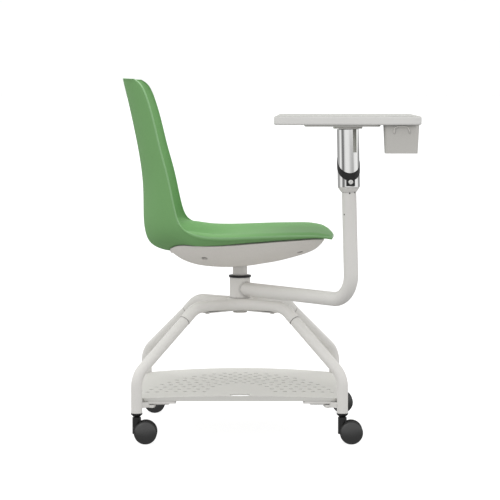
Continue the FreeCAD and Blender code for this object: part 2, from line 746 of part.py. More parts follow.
def make_socket():
    body = head_disc(HEAD_R - 1.0, COLLAR_LOW - 2.0, COLLAR_LOW)
    body = body.fuse(cone(TUBE_R + 1.5, HEAD_R - 1.5, SOCKET_LOW, COLLAR_LOW - 2.0, HEAD_X, HEAD_Y))
    body = body.fuse(head_disc(19.0, COLLAR_LOW, COLLAR_LOW + 8.0))
    bore = head_disc(TUBE_R + 0.3, SOCKET_LOW - 1, COLLAR_LOW + 2.0)
    return leaning(body.cut(bore))


def make_collar():
    body = head_disc(HEAD_R, COLLAR_LOW, 680.0).cut(above(-BAND / 2))
    body = body.makeChamfer(0.8, level_edges(body, COLLAR_LOW))
    return leaning(body.cut([head_disc(19.0, COLLAR_LOW - 1, COLLAR_LOW + 8.0), pin_bore(PIN_R),
                             screw_hole(2.5, 12.0, 40.0)]))


def make_fold_bush():
    band = head_disc(HEAD_R + 0.9, 560.0, 700.0).cut(above(BAND / 2 - 0.3)).common(above(-BAND / 2))
    tab = block(20.0, TAB_OUT, -9.5, 9.5, 582.0, 602.0)
    tab.rotate(V(0, 0, 0), V(0, 0, 1), -90 + FOLD_TURN)
    tab.translate(V(HEAD_X, HEAD_Y, 0))
    tab = tab.cut(head_disc(HEAD_R, 560, 700)).cut(above(BAND / 2 - 0.3))
    return leaning(band.fuse(tab).cut([pin_bore(PIN_R), screw_hole(2.5, 12.0, 40.0)]).removeSplitter())


def make_fold_screw():
    way = tab_way()
    seat = V(HEAD_X, HEAD_Y, 591.0) + way * TAB_OUT
    head = Part.makeCylinder(5.5, 2.6, seat, way)
    far = [e for e in head.Edges if e.Length > 30 and (e.CenterOfMass - seat).Length > 2.0]
    head = head.makeFillet(1.8, far)
    socket = Part.makeCylinder(1.8, 1.4, seat + way * 1.4, way)
    return leaning(head.fuse(screw_hole(2.5, 13.0, TAB_OUT)).cut(socket))


def make_fold_pin():
    n = fold_normal()
    return leaning(Part.makeCylinder(PIN_R, 30.0, fold_centre() - n * 15.0, n))


def make_head():
    body = head_disc(HEAD_R, 570.0, SLEEVE_END).common(above(BAND / 2))
    body = body.makeChamfer(0.8, level_edges(body, SLEEVE_END))
    return leaning(body.cut([head_disc(20.5, 668.0, SLEEVE_END + 1), pin_bore(PIN_R + RUNNING)]))


def make_flange():
    """Disc on top of the head, level under the tablet, with a spigot down into the head."""
    x = HEAD_X - math.tan(math.radians(HEAD_LEAN)) * (FLANGE_LOW - SOCKET_LOW)
    disc = cylinder(32.0, FLANGE_LOW, FLANGE_HIGH, x, HEAD_Y)
    disc = disc.makeFillet(1.4, level_edges(disc, FLANGE_LOW))
    return disc.fuse(cylinder(19.8, FLANGE_LOW - 14, FLANGE_LOW, x, HEAD_Y))


def on_tablet(shape):
    """Move a shape from the tablet's own axes to its place on the head."""
    shape.rotate(V(0, 0, 0), V(0, 0, 1), TABLET_YAW)
    shape.translate(V(TABLET_AT_X, HEAD_Y, 0))
    return shape


def tablet_screw_points():
    return [(x, y) for x in (-80.0, 44.0) for y in (-38.0, 38.0)]


def make_tablet_bracket():
    plate = rounded_block(-97, 69, -54, 54, FLANGE_HIGH, TABLET_LOW, 16)
    plate = plate.makeChamfer(2.0, level_edges(plate, FLANGE_HIGH))
    holes = []
    for x, y in tablet_screw_points():
        holes.append(cone(4.2, 2.2, FLANGE_HIGH, FLANGE_HIGH + 2.0, x, y))
        holes.append(cylinder(2.2, FLANGE_HIGH, TABLET_TOP, x, y))
    return on_tablet(plate.cut(holes))


def make_tablet_screws():
    screws = []
    for x, y in tablet_screw_points():
        head = cone(4.2, 2.2, FLANGE_HIGH, FLANGE_HIGH + 2.0, x, y)
        screws.append(head.fuse(cylinder(2.2, FLANGE_HIGH + 2.0, TABLET_LOW + 11.0, x, y)))
    return on_tablet(Part.makeCompound(screws))


def make_tablet():
    board = rounded_block(TABLET_X[0], TABLET_X[1], TABLET_Y[0], TABLET_Y[1], TABLET_LOW, TABLET_TOP,
                          TABLET_CORNER)
    board = board.makeFillet(3.0, level_edges(board, TABLET_TOP))
    board = board.makeFillet(4.0, level_edges(board, TABLET_LOW))
    half = BIN_SIZE / 2 - 9
    holes = [rounded_block(BIN_X - half, BIN_X + half, BIN_Y - half, BIN_Y + half,
                           TABLET_LOW - 1, TABLET_TOP + 1, 8)]
    for x, y in tablet_screw_points():
        holes.append(cylinder(2.2, TABLET_LOW - 1, TABLET_LOW + 11.0, x, y))
    board = board.cut(holes)
    return on_tablet(board)


def make_bin():
    """Open box with a little draft, and a thin arched rib on its near face."""
    def box(top_half, low_half, low, high, radius):
        wires = []
        for half, z in ((low_half, low), (top_half, high)):
            slab = rounded_block(-half, half, -half, half, z, z + 1, radius)
            face = [f for f in slab.Faces if abs(f.BoundBox.ZMax - z) < 0.01][0]
            wires.append(face.OuterWire)
        return Part.makeLoft(wires, True, True)
    half = BIN_SIZE / 2
    body = box(half, half - 3.0, BIN_LOW, TABLET_LOW, 7.0)
    body = body.cut(box(half - 2.8, half - 5.7, BIN_LOW + 2.5, TABLET_LOW + 0.06, 5.0))
    rib = Part.makeCylinder(17.5, 4.0, V(1.0, -half - 0.2, 698.0), V(0, 1, 0))
    rib = rib.cut(Part.makeCylinder(15.5, 4.0, V(1.0, -half - 0.2, 698.0), V(0, 1, 0)))
    rib = rib.common(block(-40, 40, -half - 10, half, 698.0, TABLET_LOW))
    body = body.fuse(rib)
    body.translate(V(BIN_X, BIN_Y, 0))
    return on_tablet(body)


def build():
    nodes = {
        "seat_shell": make_seat_shell(),
        "seat_cover": make_cover(),
        "cover_screws": make_cover_screws(),
        "seat_bracket": make_bracket(),
        "seat_screws": make_seat_screws(),
        "seat_post": make_post(),
        "centre_column": make_column(),
        "arm_sleeve": make_sleeve(),
        "thrust_ring": make_thrust_ring(),
        "base_spider": make_spider(),
        "spider_plate": make_spider_plate(),
        "spider_screws": make_spider_screws(),
        "hub_cap": make_hub_cap(),
        "bag_tray": make_tray(),
        "tray_screws": make_tray_screws(),
        "arm_tube": make_arm_tube(),
        "head_socket": make_socket(),
        "fold_collar": make_collar(),
        "fold_bush": make_fold_bush(),
        "fold_screw": make_fold_screw(),
        "fold_pin": make_fold_pin(),
        "head_sleeve": make_head(),
        "head_flange": make_flange(),
        "tablet_bracket": make_tablet_bracket(),
        "tablet_screws": make_tablet_screws(),
        "tablet_board": make_tablet(),
        "accessory_bin": make_bin(),
    }
    for place, (sx, sy) in CORNERS.items():
        x, y = sx * LEG_X, sy * LEG_X
        nodes["leg_" + place] = make_leg(sx, sy)
        nodes["tray_bracket_" + place] = make_tray_bracket(sx, sy)
        nodes["leg_insert_" + place] = make_insert(x, y)
        nodes["caster_stem_" + place] = make_stem(x, y)
        nodes["caster_housing_" + place] = make_housing(x, y)
        nodes["caster_axle_" + place] = make_axle(x, y)
        nodes["wheel_right_" + place] = make_wheel(x, y, -1)
        nodes["wheel_left_" + place] = make_wheel(x, y, 1)
    return nodes


os.makedirs("parts", exist_ok=True)
for name, shape in build().items():
    save(name, shape)
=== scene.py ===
import math

import bmesh
import bpy
import numpy as np
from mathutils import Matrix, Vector


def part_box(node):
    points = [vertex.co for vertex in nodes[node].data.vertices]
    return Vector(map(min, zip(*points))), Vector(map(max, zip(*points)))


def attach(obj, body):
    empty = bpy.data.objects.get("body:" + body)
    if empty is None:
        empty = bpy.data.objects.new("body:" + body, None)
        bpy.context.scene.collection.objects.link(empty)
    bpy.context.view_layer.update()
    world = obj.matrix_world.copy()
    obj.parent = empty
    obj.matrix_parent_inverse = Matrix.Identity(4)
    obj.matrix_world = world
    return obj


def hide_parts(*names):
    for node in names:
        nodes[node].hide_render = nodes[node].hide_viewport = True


# Student desk chair: a green bucket seat that turns on a light grey caster base, with a swinging
# arm and a folding tablet.  The CAD nodes keep their shape and get their finishes here.  The seat
# moulding and the wheels are finer pieces made in this script, and so are the arm's weld and set
# screws, the rib on the bin and a small face of the upper sleeve.

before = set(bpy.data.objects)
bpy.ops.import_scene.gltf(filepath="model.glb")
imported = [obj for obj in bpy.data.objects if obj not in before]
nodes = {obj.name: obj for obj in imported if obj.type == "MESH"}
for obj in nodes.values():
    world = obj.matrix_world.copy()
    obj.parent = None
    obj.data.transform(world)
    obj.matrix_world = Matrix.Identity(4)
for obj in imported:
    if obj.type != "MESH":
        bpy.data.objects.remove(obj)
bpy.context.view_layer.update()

MM = 0.001
# The part's own origin, at the foot of the swivel axis, in the row frame and in metres.
HUB = Vector((-0.0713, 0.0713, 0.0018))


def from_hub(x, y, z):
    """A point given in millimetres from the swivel axis, in the row frame."""
    return HUB + Vector((x, y, z)) * MM


# ---------------------------------------------------------------- finishes

def linear(red, green, blue):
    """Linear colour from 0-255 display values."""
    out = []
    for value in (red, green, blue):
        v = value / 255
        out.append(v / 12.92 if v <= 0.04045 else ((v + 0.055) / 1.055) ** 2.4)
    return tuple(out)


# The span of a noise texture that holds nearly all of its values.
NOISE_SPAN = (0.25, 0.75)


class Graph:
    """Short names for adding and joining shader nodes."""

    def __init__(self, tree):
        self.tree = tree

    def add(self, kind, **settings):
        node = self.tree.nodes.new("ShaderNode" + kind)
        for key, value in settings.items():
            setattr(node, key, value)
        return node

    def join(self, out, into):
        self.tree.links.new(out, into)

    def put(self, socket, value):
        if isinstance(value, bpy.types.NodeSocket):
            self.join(value, socket)
        else:
            socket.default_value = value

    def math(self, operation, a, b=0.0, clamp=False):
        node = self.add("Math", operation=operation, use_clamp=clamp)
        self.put(node.inputs[0], a)
        self.put(node.inputs[1], b)
        return node.outputs[0]

    def step(self, value, low, high):
        """A smooth step from 0 at low to 1 at high."""
        node = self.add("MapRange", interpolation_type="SMOOTHSTEP")
        self.join(value, node.inputs["Value"])
        node.inputs["From Min"].default_value = low
        node.inputs["From Max"].default_value = high
        return node.outputs["Result"]

    def blend(self, share, a, b):
        """A number that goes from a to b as share goes from 0 to 1."""
        node = self.add("Mix", data_type="FLOAT")
        self.join(share, node.inputs["Factor"])
        self.put(node.inputs["A"], a)
        self.put(node.inputs["B"], b)
        return node.outputs["Result"]

    def noise(self, place, per_metre, detail=2.0, roughness=0.5):
        node = self.add("TexNoise")
        self.join(place, node.inputs["Vector"])
        node.inputs["Scale"].default_value = per_metre
        node.inputs["Detail"].default_value = detail
        node.inputs["Roughness"].default_value = roughness
        return node.outputs["Fac"]

    def around(self, noise, amount):
        """A noise turned into a number that swings by amount either side of zero."""
        node = self.add("MapRange")
        self.join(noise, node.inputs["Value"])
        node.inputs["From Min"].default_value = NOISE_SPAN[0]
        node.inputs["From Max"].default_value = NOISE_SPAN[1]
        node.inputs["To Min"].default_value = -amount
        node.inputs["To Max"].default_value = amount
        return node.outputs["Result"]


SLOW_PER_METRE, WEAR_PER_METRE = 9.0, 160.0
BUMP_STRENGTH, EDGE_GAIN, ROUGH_SWING = 0.6, 4.0, 0.04


def surface(name, colour, rough, metal=0.0, specular=0.5, grain=900.0, depth=0.03, speckle=0.0,
            speckle_scale=420.0, mottle=0.02, round_edge=0.6, wear=0.06, shade_in_hollows=0.3, reach=6.0,
            stretch=(1, 1, 1)):
    """One finish: colour with slow and fine variation, grain relief, worn edges, and painted shade
    in crevices and under nearby parts.

    Lengths (depth, round_edge, reach) are in millimetres; grain and speckle_scale are per metre.
    """
    material = bpy.data.materials.new(name)
    material.use_nodes = True
    g = Graph(material.node_tree)
    shader = material.node_tree.nodes["Principled BSDF"]
    shader.inputs["Metallic"].default_value = metal
    shader.inputs["Specular IOR Level"].default_value = specular
    place = g.add("TexCoord").outputs["Object"]
    if stretch != (1, 1, 1):
        mapping = g.add("Mapping")
        g.join(place, mapping.inputs["Vector"])
        mapping.inputs["Scale"].default_value = stretch
        place = mapping.outputs["Vector"]
    slow = g.noise(place, SLOW_PER_METRE, 3.0)
    fine = g.noise(place, grain, 2.0, 0.6)
    tone = g.math("ADD", 1.0, g.around(slow, mottle))
    if speckle:
        specks = g.noise(place, speckle_scale, 3.0, 0.7)
        tone = g.math("ADD", tone, g.around(specks, speckle))
    bump = g.add("Bump")
    bump.inputs["Strength"].default_value = BUMP_STRENGTH
    bump.inputs["Distance"].default_value = depth * MM
    g.join(fine, bump.inputs["Height"])
    if round_edge:
        bevel = g.add("Bevel", samples=4)
        bevel.inputs["Radius"].default_value = round_edge * MM
        g.join(bevel.outputs["Normal"], bump.inputs["Normal"])
        geometry = g.add("NewGeometry")
        dot = g.add("VectorMath", operation="DOT_PRODUCT")
        g.join(bevel.outputs["Normal"], dot.inputs[0])
        g.join(geometry.outputs["Normal"], dot.inputs[1])
        edge = g.math("SUBTRACT", 1.0, dot.outputs["Value"])
        edge = g.math("MULTIPLY", edge, EDGE_GAIN, clamp=True)
        patchy = g.math("MULTIPLY", edge, g.noise(place, WEAR_PER_METRE, 2.0))
        tone = g.math("ADD", tone, g.math("MULTIPLY", patchy, wear))
    # Painted shade: ambient occlusion darkens the colour wherever another surface lies within
    # reach, as in crevices, hollows and under nearby parts.
    if shade_in_hollows:
        occlusion = g.add("AmbientOcclusion", samples=4)
        occlusion.inputs["Distance"].default_value = reach * MM
        painted_shade = g.math("MULTIPLY", g.math("SUBTRACT", 1.0, occlusion.outputs["AO"]), shade_in_hollows)
        tone = g.math("MULTIPLY", tone, g.math("SUBTRACT", 1.0, painted_shade, clamp=True))
    tint = g.add("VectorMath", operation="SCALE")
    tint.inputs[0].default_value = colour
    g.join(tone, tint.inputs["Scale"])
    g.join(tint.outputs["Vector"], shader.inputs["Base Color"])
    g.join(g.math("ADD", rough, g.around(slow, ROUGH_SWING)), shader.inputs["Roughness"])
    g.join(bump.outputs["Normal"], shader.inputs["Normal"])
    return material


# Every finish but chrome paints shade into its hollows and under nearby parts, out to reach
# millimetres.
FINISHES = {
    # The green's long reach paints the cover's shade onto the seat's skirt and paints shade inside
    # the back.
    "green": surface("green_polypropylene", linear(129, 177, 117), 0.52, specular=0.03,
                     grain=1500.0, depth=0.05, speckle=0.03, speckle_scale=600.0,
                     round_edge=0.0, shade_in_hollows=0.7, reach=60.0),
    # The rim's lighter green is a painted highlight along the moulding's rim; the rim is also a
    # little glossier.
    "rim": surface("green_rim_painted_highlight", linear(140, 186, 131), 0.38, specular=0.25,
                   grain=1500.0, speckle=0.03, speckle_scale=600.0, mottle=0.03,
                   round_edge=0.0),
    "cover": surface("textured_grey_plastic", linear(242, 238, 232), 0.62, specular=0.15,
                     grain=1100.0, depth=0.12, speckle=0.07, speckle_scale=520.0,
                     shade_in_hollows=0.85, reach=12.0),
    "paint": surface("powder_coat", linear(234, 232, 228), 0.45, specular=0.25,
                     grain=700.0, depth=0.06, speckle=0.012, mottle=0.012, wear=0.05,
                     shade_in_hollows=0.7, reach=5.0),
    # The tray's occlusion paints shade onto the walls of its slots.
    "tray": surface("tray_plastic", linear(218, 217, 212), 0.6, specular=0.25,
                    grain=1000.0, depth=0.08, speckle=0.03, round_edge=0.5,
                    shade_in_hollows=0.9, reach=9.0),
    # The top's grey, darker than the edge's, is painted shade on the tablet's upward faces; the top
    # is also rougher and less shiny.
    "top": surface("tablet_top_painted_shade", linear(186, 186, 182), 0.7, specular=0.03,
                   grain=1300.0, depth=0.02, speckle=0.015, mottle=0.012, round_edge=0.0),
    "board": surface("tablet_edge", linear(234, 233, 230), 0.4, specular=0.25,
                     grain=1300.0, depth=0.02, speckle=0.012, mottle=0.012, round_edge=0.0),
    # The bin's long reach paints the tablet's shade onto the upper part of the bin.
    "bin": surface("bin_plastic", linear(208, 206, 201), 0.5, specular=0.15,
                   depth=0.04, speckle=0.02, mottle=0.03, round_edge=0.7,
                   shade_in_hollows=1.0, reach=50.0),
    "cap": surface("cap_plastic", linear(232, 229, 223), 0.45, round_edge=0.4),
    "black": surface("black_nylon", linear(24, 24, 24), 0.42, specular=0.4,
                     grain=800.0, depth=0.05, speckle=0.08, mottle=0.08, wear=0.8),
    "wheel": surface("wheel_plastic", linear(14, 14, 14), 0.29, specular=1.0,
                     depth=0.04, speckle=0.06, mottle=0.06, round_edge=0.0),
    "tread": surface("tread_rubber", linear(34, 34, 34), 0.7, grain=600.0, depth=0.1,
                     speckle=0.12, mottle=0.1, round_edge=0.0),
    "chrome": surface("bright_chrome", (0.86, 0.86, 0.85), 0.06, metal=1.0,
                      grain=500.0, depth=0.004, mottle=0.01, wear=0.0, round_edge=0.0,
                      shade_in_hollows=0.0, stretch=(1, 1, 0.05)),
    "zinc": surface("zinc_plate", (0.80, 0.80, 0.78), 0.35, metal=1.0,
                    grain=600.0, depth=0.02, speckle=0.05, mottle=0.05, wear=0.3,
                    round_edge=0.3),
}

FINISH_OF = {
    "seat_shell": "green", "seat_cover": "cover", "bag_tray": "tray", "tablet_board": "board",
    "accessory_bin": "bin", "hub_cap": "cap", "thrust_ring": "black", "fold_bush": "black",
    "fold_collar": "chrome", "head_sleeve": "chrome", "cover_screws": "zinc",
    "seat_screws": "zinc", "spider_screws": "cap", "tray_screws": "zinc", "fold_screw": "zinc",
    "fold_pin": "zinc", "tablet_screws": "zinc",
}
FINISH_STARTING = {"leg_insert": "black", "caster_housing": "black", "caster_stem": "zinc",
                   "caster_axle": "zinc", "wheel_": "wheel"}


def finish_of(name):
    """The finish of a CAD node; whatever is not listed is painted steel."""
    for start, finish in FINISH_STARTING.items():
        if name.startswith(start):
            return finish
    return FINISH_OF.get(name, "paint")


def give(piece, *finishes):
    """Put finishes on a piece, in slot order, in place of what it has."""
    piece.data.materials.clear()
    for finish in finishes:
        piece.data.materials.append(FINISHES[finish])


for name, node in nodes.items():
    give(node, finish_of(name))


def make_tablet():
    """The tablet board's own shape, with painted shade in a darker grey on its top and a moulded
    edge.
    """
    board = nodes["tablet_board"]
    tablet = bpy.data.objects.new("tablet_with_shaded_top", board.data.copy())
    tablet.matrix_world = board.matrix_world.copy()
    bpy.context.scene.collection.objects.link(tablet)
    give(tablet, "board", "top")
    # Faces that look up get the darker grey, painted shade.
    for face in tablet.data.polygons:
        face.material_index = 1 if face.normal.z > 0.5 else 0
    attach(tablet, "tablet")
    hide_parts("tablet_board")


make_tablet()


# ---------------------------------------------------------------- mesh helpers

def new_piece(name, points, faces, sharp=40.0):
    """A smooth-shaded object from points in metres; edges over sharp degrees stay crisp."""
    mesh = bpy.data.meshes.new(name)
    mesh.from_pydata([tuple(p) for p in points], [], faces)
    clean = bmesh.new()
    clean.from_mesh(mesh)
    bmesh.ops.recalc_face_normals(clean, faces=clean.faces)
    clean.to_mesh(mesh)
    clean.free()
    mesh.shade_smooth()
    mesh.set_sharp_from_angle(angle=math.radians(sharp))
    piece = bpy.data.objects.new(name, mesh)
    bpy.context.scene.collection.objects.link(piece)
    return piece


def ring_faces(rings, sides, first=0, closed=False):
    """Quads between rings of points that follow one another, all with the same sides."""
    faces = []
    for i in range(rings if closed else rings - 1):
        here = first + i * sides
        there = first + (i + 1) % rings * sides
        for k in range(sides):
            n = (k + 1) % sides
            faces.append((here + k, here + n, there + n, there + k))
    return faces


def spline(marks, values, at):
    """Natural cubic through values (n by 3) at marks, read at the numbers in at."""
    marks, values, at = (np.asarray(a, float) for a in (marks, values, at))
    n = len(marks)
    step = np.diff(marks)
    slope = np.diff(values, axis=0) / step[:, None]
    left = np.eye(n)
    right = np.zeros_like(values)
    for i in range(1, n - 1):
        left[i, i - 1:i + 2] = step[i - 1], 2 * (step[i - 1] + step[i]), step[i]
        right[i] = 6 * (slope[i] - slope[i - 1])
    bend = np.linalg.solve(left, right)
    k = np.clip(np.searchsorted(marks, at, side="right") - 1, 0, n - 2)
    h = step[k][:, None]
    a = (marks[k + 1] - at)[:, None]
    b = (at - marks[k])[:, None]
    return (bend[k] * a**3 + bend[k + 1] * b**3) / (6 * h) \
        + (values[k] / h - bend[k] * h / 6) * a + (values[k + 1] / h - bend[k + 1] * h / 6) * b


# ---------------------------------------------------------------- seat moulding

# Each row is one section of the moulding, from the top of the back, down and forward to the
# nose of the seat: middle x, middle z, edge x, edge z, half width, roll, crown z, skirt z.
# roll goes from 0 (edge is a forward wing) to 1 (the sides crown, then roll down to the edge).
SHELL_ROWS = [
    (-272.3, 819.5, -240.0, 818.1, 150.0, 0.0, 0.0, 0.0),
    (-270.0, 808.0, -226.5, 808.0, 163.0, 0.0, 0.0, 0.0),
    (-265.5, 789.0, -215.5, 791.0, 173.0, 0.0, 0.0, 0.0),
    (-257.5, 755.0, -203.5, 758.0, 181.0, 0.0, 0.0, 0.0),
    (-245.5, 699.0, -189.5, 705.0, 187.0, 0.0, 0.0, 0.0),
    (-236.5, 652.0, -177.5, 655.0, 191.5, 0.0, 0.0, 0.0),
    (-229.5, 605.0, -164.5, 608.0, 196.0, 0.0, 0.0, 0.0),
    (-226.0, 558.0, -153.0, 557.0, 200.0, 0.0, 0.0, 0.0),
    (-225.5, 512.0, -144.5, 518.0, 203.0, 0.0, 0.0, 0.0),
    (-223.5, 475.0, -136.0, 493.0, 205.5, 0.05, 500.0, 486.0),
    (-213.0, 441.0, -122.5, 477.0, 207.5, 0.2, 500.0, 464.0),
    (-193.0, 425.5, -104.0, 467.5, 209.0, 0.45, 493.0, 444.5),
    (-162.0, 418.0, -82.0, 462.0, 210.0, 0.75, 479.0, 438.5),
    (-122.0, 420.5, -57.0, 460.0, 210.0, 0.93, 470.5, 439.8),
    (-78.0, 430.0, -28.0, 459.5, 210.0, 1.0, 468.0, 442.0),
    (-30.0, 441.5, 5.0, 460.5, 210.0, 1.0, 468.3, 445.5),
    (25.0, 450.5, 45.0, 462.0, 210.0, 1.0, 469.8, 449.0),
    (82.0, 457.0, 93.0, 464.0, 210.0, 1.0, 471.2, 453.0),
    (133.0, 460.5, 137.0, 465.0, 209.0, 1.0, 471.8, 456.0),
    (172.0, 460.5, 170.0, 464.8, 205.0, 1.0, 471.3, 458.0),
    (198.0, 457.5, 190.0, 463.0, 197.0, 1.0, 468.3, 457.0),
    (212.0, 454.5, 203.0, 460.5, 186.0, 1.0, 464.0, 455.5),
    (219.0, 451.5, 210.0, 457.0, 172.0, 1.0, 458.5, 453.0),
]
WING_COLUMNS = [(0.0, 0.0), (0.2, 0.02), (0.4, 0.09), (0.58, 0.21), (0.74, 0.38), (0.86, 0.57),
                (0.94, 0.76), (0.98, 0.89), (1.0, 1.0)]
TOP_COLUMNS = [(0.0, 0.0), (0.25, 0.05), (0.47, 0.25), (0.65, 0.6), (0.78, 0.9), (0.88, 1.0),
               (0.95, 0.8), (0.985, 0.42), (1.0, 0.0)]
UNDER_COLUMNS = [(0.0, 0.0), (0.25, 0.08), (0.46, 0.42), (0.61, 0.86), (0.72, 1.1), (0.81, 1.1),
                 (0.89, 1.0), (0.95, 0.5), (0.992, 0.0)]
# How many of the last columns lie between the crown, or the skirt, and the edge.
TOP_FALL, UNDER_FALL = 3, 2
# Where roll is in a row; the inner face rolls over a little ahead of the outer one.
ROLL = 5
INNER_ROLL_POWER = 0.75
SHELL_T, EDGE_T = 5.0, 4.0
# Faces across and along the moulding; EDGE_SHARE of the spacing across tightens to the edges.
ACROSS, ALONG = 84, 120
EDGE_SHARE = 0.55
# Points along each section to measure its length by.
DENSE = 600
RIM_ROUND, RIM_PROUD, RIM_STEPS = 2.8, 0.8, 8
# How soon the rim reaches its full stand off the faces.
RIM_RISE = 3.0
# Below this height, in metres, only the upper half of the rim gets the lighter green, a painted
# highlight.
RIM_TURN = 0.49


def wing_points(row, inner):
    """Half of a section of the back: its sides sweep forward to the edge."""
    mx, mz, ex, ez, half = row[:5]
    reach = math.hypot(ex - mx, ez - mz)
    fx, fz = (ex - mx) / reach, (ez - mz) / reach
    flat = [(share * half, rise * reach) for share, rise in WING_COLUMNS]
    if inner:
        moved = []
        for i, (y, f) in enumerate(flat):
            y0, f0 = flat[max(i - 1, 0)]
            y1, f1 = flat[min(i + 1, len(flat) - 1)]
            lean = 0.0 if i == 0 else (f1 - f0) / math.hypot(y1 - y0, f1 - f0)
            moved.append((y - SHELL_T * lean, f + SHELL_T * math.sqrt(1 - lean**2)))
        flat = moved
    return np.array([(mx + fx * f, y, mz + fz * f) for y, f in flat])


def seat_points(row, inner):
    """Half of a section of the seat: its sides crown, then roll down to the edge."""
    mx, mz, ex, ez, half, _, crown, skirt = row
    columns, fall = UNDER_COLUMNS, UNDER_FALL
    middle, high, edge = mz, skirt, ez - EDGE_T
    if inner:
        columns, fall = TOP_COLUMNS, TOP_FALL
        middle, high, edge = mz + SHELL_T, crown, ez
    points = []
    for i, (share, rise) in enumerate(columns):
        # The first columns rise from the middle, and the last ones fall to the edge.
        base = middle if i < len(columns) - fall else edge
        points.append((mx + (ex - mx) * share**2, share * half, base + (high - base) * rise))
    return np.array(points)


def shell_half(row, inner):
    """Half of any section, from the middle to the edge."""
    roll = row[ROLL]**INNER_ROLL_POWER if inner else row[ROLL]
    wing = wing_points(row, inner)
    return wing if roll == 0.0 else wing * (1 - roll) + seat_points(row, inner) * roll


def shell_grid(inner):
    """A fine grid of points over one face of the moulding, in millimetres."""
    lines = []
    for row in SHELL_ROWS:
        half = shell_half(row, inner)
        line = np.vstack([half[:0:-1] * (1, -1, 1), half])
        chord = np.r_[0, np.cumsum(np.linalg.norm(np.diff(line, axis=0), axis=1))]
        dense = spline(chord, line, np.linspace(0, chord[-1], DENSE))
        length = np.r_[0, np.cumsum(np.linalg.norm(np.diff(dense, axis=0), axis=1))]
        t = np.linspace(-1, 1, ACROSS + 1)
        share = 0.5 + 0.5 * ((1 - EDGE_SHARE) * t + EDGE_SHARE * np.sin(np.pi / 2 * t))
        reach = RIM_ROUND + share * (length[-1] - 2 * RIM_ROUND)
        lines.append(np.stack([np.interp(reach, length, dense[:, k]) for k in range(3)], 1))
    marks = [0.0]
    for before, after in zip(SHELL_ROWS, SHELL_ROWS[1:]):
        middle = math.hypot(after[0] - before[0], after[1] - before[1])
        edge = math.hypot(after[2] - before[2], after[3] - before[3])
        marks.append(marks[-1] + (middle + edge) / 2)
    lines = np.array(lines)
    at = np.linspace(RIM_ROUND, marks[-1] - RIM_ROUND, ALONG + 1)
    return np.stack([spline(marks, lines[:, k], at) for k in range(ACROSS + 1)], 1)


def make_moulding():
    """The two faces of the moulding, joined all round by a rounded rim."""
    faces_of = [shell_grid(False), shell_grid(True)]
    ring = [(0, j) for j in range(ACROSS)]
    ring += [(i, ACROSS) for i in range(ALONG)]
    ring += [(ALONG, j) for j in range(ACROSS, 0, -1)]
    ring += [(i, 0) for i in range(ALONG, 0, -1)]
    outward = []
    for i, j in ring:
        near = (min(max(i, 1), ALONG - 1), min(max(j, 1), ACROSS - 1))
        outs = []
        for grid in faces_of:
            out = grid[i, j] - grid[near]
            outs.append(out / np.linalg.norm(out))
        outward.append(outs)
    width = ACROSS + 1
    count = width * (ALONG + 1)
    points = [p for grid in faces_of for p in grid.reshape(-1, 3)]
    faces = []
    for side in range(2):
        for i in range(ALONG):
            for j in range(ACROSS):
                a = side * count + i * width + j
                faces.append((a, a + 1, a + width + 1, a + width))
    loops = [[i * width + j for i, j in ring]]
    for k in range(1, RIM_STEPS):
        turn = math.pi * k / RIM_STEPS
        loop = []
        for (i, j), outs in zip(ring, outward):
            low, high = faces_of[0][i, j], faces_of[1][i, j]
            half = (high - low) / 2
            out = outs[0] + outs[1]
            out -= half * (out @ half) / (half @ half)
            out *= RIM_ROUND / np.linalg.norm(out)
            loop.append(len(points))
            proud = 1 + RIM_PROUD / np.linalg.norm(half) * min(1.0, RIM_RISE * math.sin(turn))
            points.append((low + high) / 2 - half * proud * math.cos(turn) + out * math.sin(turn))
        loops.append(loop)
    loops.append([count + i * width + j for i, j in ring])
    for one, other in zip(loops, loops[1:]):
        for k in range(len(ring)):
            n = (k + 1) % len(ring)
            faces.append((one[k], one[n], other[n], other[k]))
    placed = [from_hub(*p) for p in points]
    moulding = new_piece("seat_moulding", placed, faces, 60.0)
    give(moulding, "green", "rim")
    # Rim faces get the lighter green, a painted highlight: the whole rim above RIM_TURN and only
    # its upper half below.
    skin = 2 * ACROSS * ALONG
    for face in moulding.data.polygons[skin:]:
        upper = face.index - skin >= RIM_STEPS // 2 * len(ring)
        face.material_index = 1 if upper or face.center.z > RIM_TURN else 0
    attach(moulding, "seat")
    # Kept out of reflections, so that the chrome shows only the surround and the other parts.
    moulding.visible_glossy = False
    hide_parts("seat_shell")


make_moulding()


# ---------------------------------------------------------------- caster wheels

WHEEL_STEPS = 72
# Lathe profile of a wheel: radius, and distance out from its inner face, in millimetres.
WHEEL_PROFILE = [
    (3.05, 9.0), (3.05, 0.3), (3.4, 0.0), (5.6, 0.0), (6.0, 0.4), (6.0, 3.6), (6.4, 4.0),
    (20.0, 4.0), (20.5, 3.6), (20.5, 0.4), (20.9, 0.0), (23.6, 0.0), (24.6, 0.25), (25.5, 0.9),
    (25.9, 1.7), (26.0, 2.6), (26.0, 6.2), (25.85, 6.9), (25.45, 7.5), (24.9, 7.95), (24.5, 8.1),
    (24.3, 8.0), (24.1, 8.1), (23.6, 8.45), (22.0, 9.1), (19.5, 9.85), (16.5, 10.55),
    (13.0, 11.15), (9.5, 11.6), (6.0, 11.87), (3.0, 11.98), (0.8, 12.0),
]
TREAD_FROM, TREAD_TO = 10, 20


